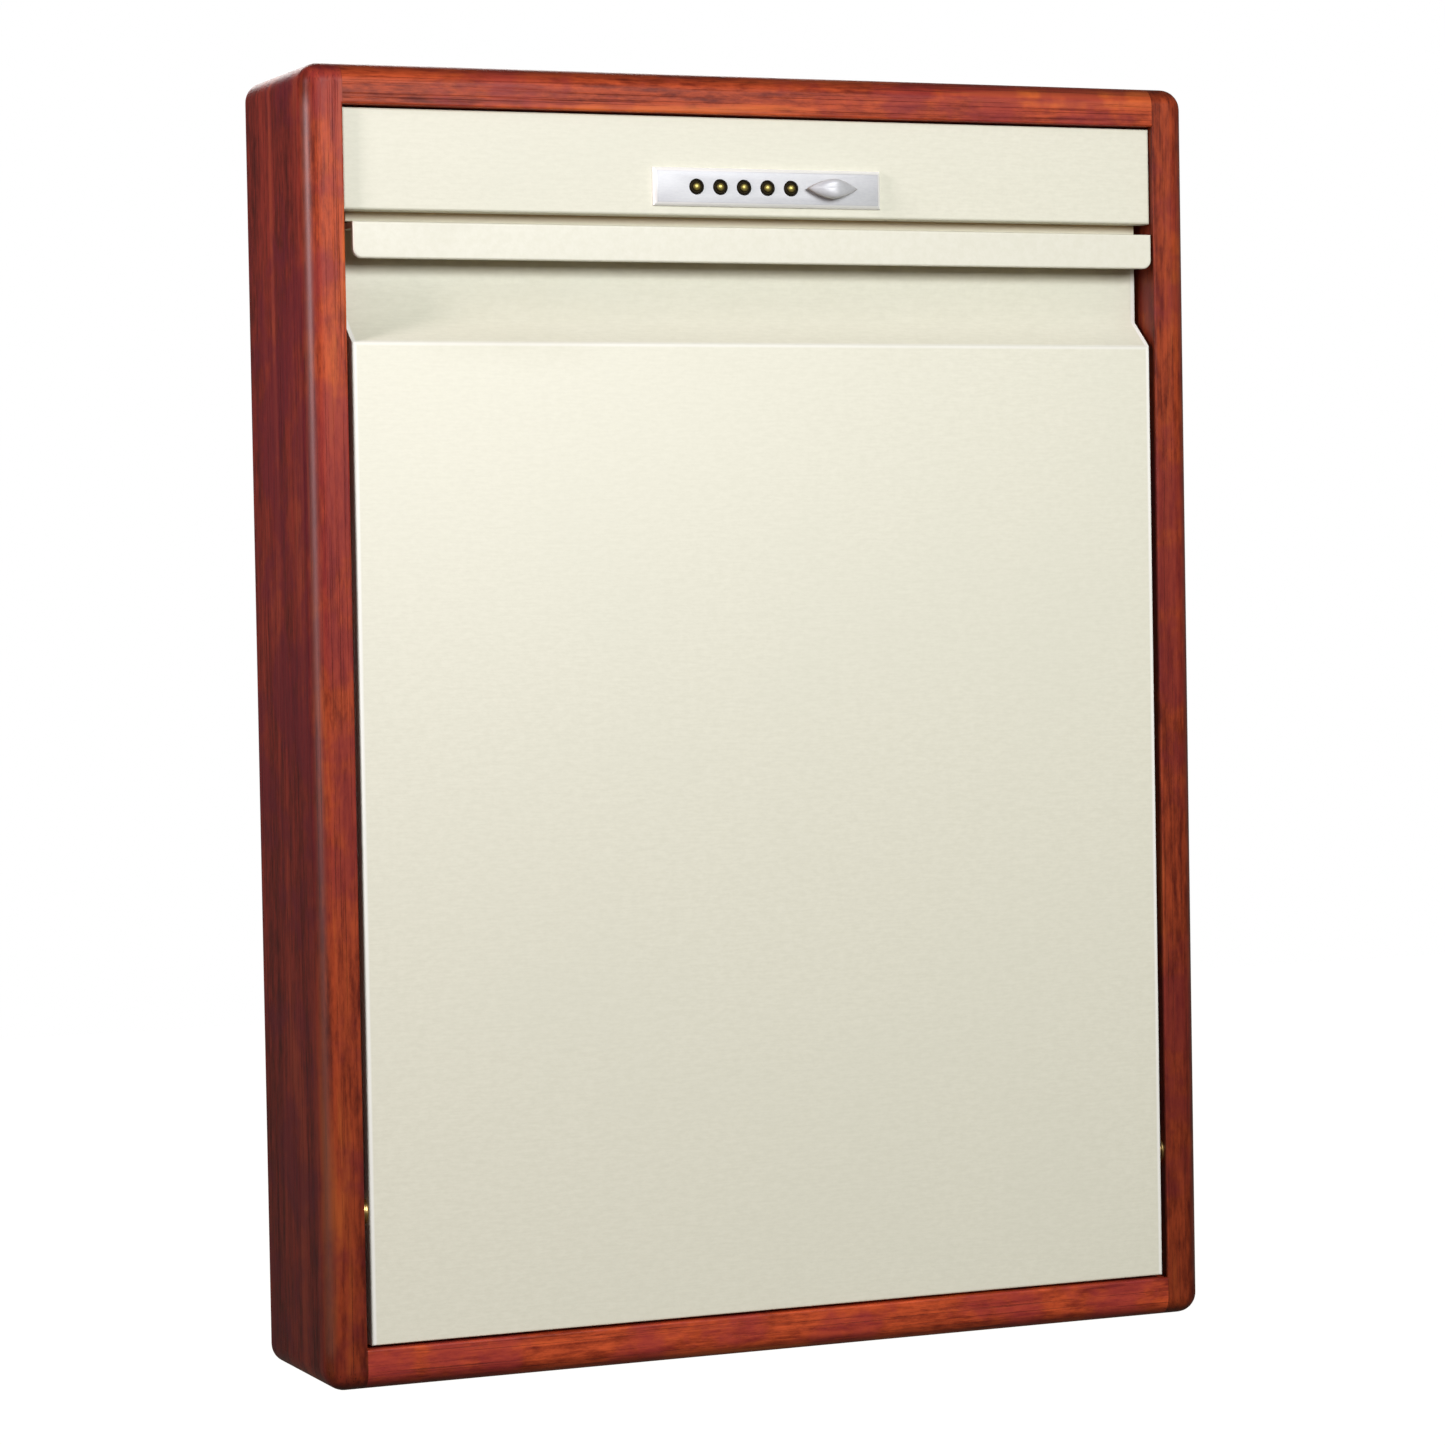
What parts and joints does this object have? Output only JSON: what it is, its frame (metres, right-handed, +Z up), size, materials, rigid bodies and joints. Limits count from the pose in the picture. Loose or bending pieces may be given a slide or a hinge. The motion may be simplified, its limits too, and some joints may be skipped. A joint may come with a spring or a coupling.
{
  "type": "drop-front wall cabinet",
  "caption": "Shallow wall cabinet in a rounded hardwood case, with a fold-down cream door, a full-width pull rail and a push-button lock in the fascia.",
  "frame": {"origin": "centre of the four wall-fixing holes, on the wall plane", "axes": "+X to the right seen from the front, +Y into the wall, +Z up; the front faces -Y"},
  "size_m": [0.4572, 0.0959, 0.6096],
  "materials": {
    "stained_hardwood": "red mahogany stain under satin lacquer, open grain",
    "plain_hardwood": "clear-lacquered hardwood",
    "plywood": "lacquered veneer plywood",
    "cream_board": "cream foil-wrapped board, fine mottle, satin",
    "cream_metal": "cream paint to match the door, satin",
    "writing_laminate": "matt cream laminate",
    "satin_silver": "satin silver casting",
    "zinc_steel": "bright zinc-plated steel",
    "screw_steel": "plated screws",
    "spring_steel": "bright spring wire",
    "aged_brass": "dark aged brass, polished by fingers at the crown",
    "pivot_brass": "turned brass",
    "black_rubber": "black rubber",
    "chamber_brass": "die-cast chamber, plain"
  },
  "bodies": {
    "case": {"stile_left": "stained_hardwood", "stile_right": "stained_hardwood", "top_rail": "stained_hardwood", "bottom_rail": "stained_hardwood", "corner_dowels": "plain_hardwood", "back_panel": "plywood", "back_panel_screws": "screw_steel", "upper_wall_rail": "plain_hardwood", "lower_wall_rail": "plain_hardwood", "wall_rail_screws": "screw_steel", "shelf": "plywood", "shelf_screws": "screw_steel", "stop_batten": "plain_hardwood", "batten_dowels": "plain_hardwood", "stop_bumpers": "black_rubber", "closing_stop_left": "plain_hardwood", "closing_stop_right": "plain_hardwood", "closing_stop_screws": "screw_steel", "closing_bumpers": "black_rubber", "fascia": "cream_board", "guard_strip": "cream_board", "guard_screws": "screw_steel", "fascia_bracket_left": "zinc_steel", "fascia_bracket_right": "zinc_steel", "fascia_screws": "screw_steel", "lock_plate": "satin_silver", "lock_case": "zinc_steel", "lock_cover": "zinc_steel", "cover_screws": "screw_steel", "lock_screws": "screw_steel", "code_chamber": "chamber_brass", "turn_washer": "zinc_steel", "pivot_bush_left": "pivot_brass", "pivot_bush_right": "pivot_brass", "button_spring_1": "spring_steel", "button_spring_2": "spring_steel", "button_spring_3": "spring_steel", "button_spring_4": "spring_steel", "button_spring_5": "spring_steel"},
    "door": {"door_board": "cream_board", "writing_panel": "writing_laminate", "pull_rail": "cream_metal", "pull_rail_screws": "screw_steel", "strike_plate": "zinc_steel", "pivot_washer_left": "pivot_brass", "pivot_washer_right": "pivot_brass", "pivot_pin_left": "zinc_steel", "pivot_pin_right": "zinc_steel", "pivot_sleeve_left": "pivot_brass", "pivot_sleeve_right": "pivot_brass", "pivot_set_screws": "screw_steel"},
    "thumb_turn": {"thumb_turn": "satin_silver", "turn_crank": "zinc_steel"},
    "latch_bolt": {"latch_bolt": "zinc_steel"},
    "button_1": {"button_1": "aged_brass"},
    "button_2": {"button_2": "aged_brass"},
    "button_3": {"button_3": "aged_brass"},
    "button_4": {"button_4": "aged_brass"},
    "button_5": {"button_5": "aged_brass"}
  },
  "joints": [
    {"name": "door_pivot", "type": "hinge", "parent": "case", "child": "door", "pos_m": [0, -0.0799, -0.2227], "axis": [1, 0, 0], "range_deg": [0, 90]},
    {"name": "thumb_turn", "type": "hinge", "parent": "case", "child": "thumb_turn", "pos_m": [0.0345, -0.0859, 0.25145], "axis": [0, 1, 0], "range_deg": [0, 90]},
    {"name": "latch_bolt", "type": "slide", "parent": "case", "child": "latch_bolt", "axis": [0, 0, -1], "range_m": [0, 0.011]},
    {"name": "button_1_press", "type": "slide", "parent": "case", "child": "button_1", "axis": [0, 1, 0], "range_m": [0, 0.0025], "stiffness_N_per_m": 300, "springref_m": -0.002, "deforming": ["button_spring_1"]},
    {"name": "button_2_press", "type": "slide", "parent": "case", "child": "button_2", "axis": [0, 1, 0], "range_m": [0, 0.0025], "stiffness_N_per_m": 300, "springref_m": -0.002, "deforming": ["button_spring_2"]},
    {"name": "button_3_press", "type": "slide", "parent": "case", "child": "button_3", "axis": [0, 1, 0], "range_m": [0, 0.0025], "stiffness_N_per_m": 300, "springref_m": -0.002, "deforming": ["button_spring_3"]},
    {"name": "button_4_press", "type": "slide", "parent": "case", "child": "button_4", "axis": [0, 1, 0], "range_m": [0, 0.0025], "stiffness_N_per_m": 300, "springref_m": -0.002, "deforming": ["button_spring_4"]},
    {"name": "button_5_press", "type": "slide", "parent": "case", "child": "button_5", "axis": [0, 1, 0], "range_m": [0, 0.0025], "stiffness_N_per_m": 300, "springref_m": -0.002, "deforming": ["button_spring_5"]}
  ],
  "couplings": [
    {"joint": "latch_bolt", "follows": "thumb_turn", "m_per_rad": 0.0070028}
  ]
}
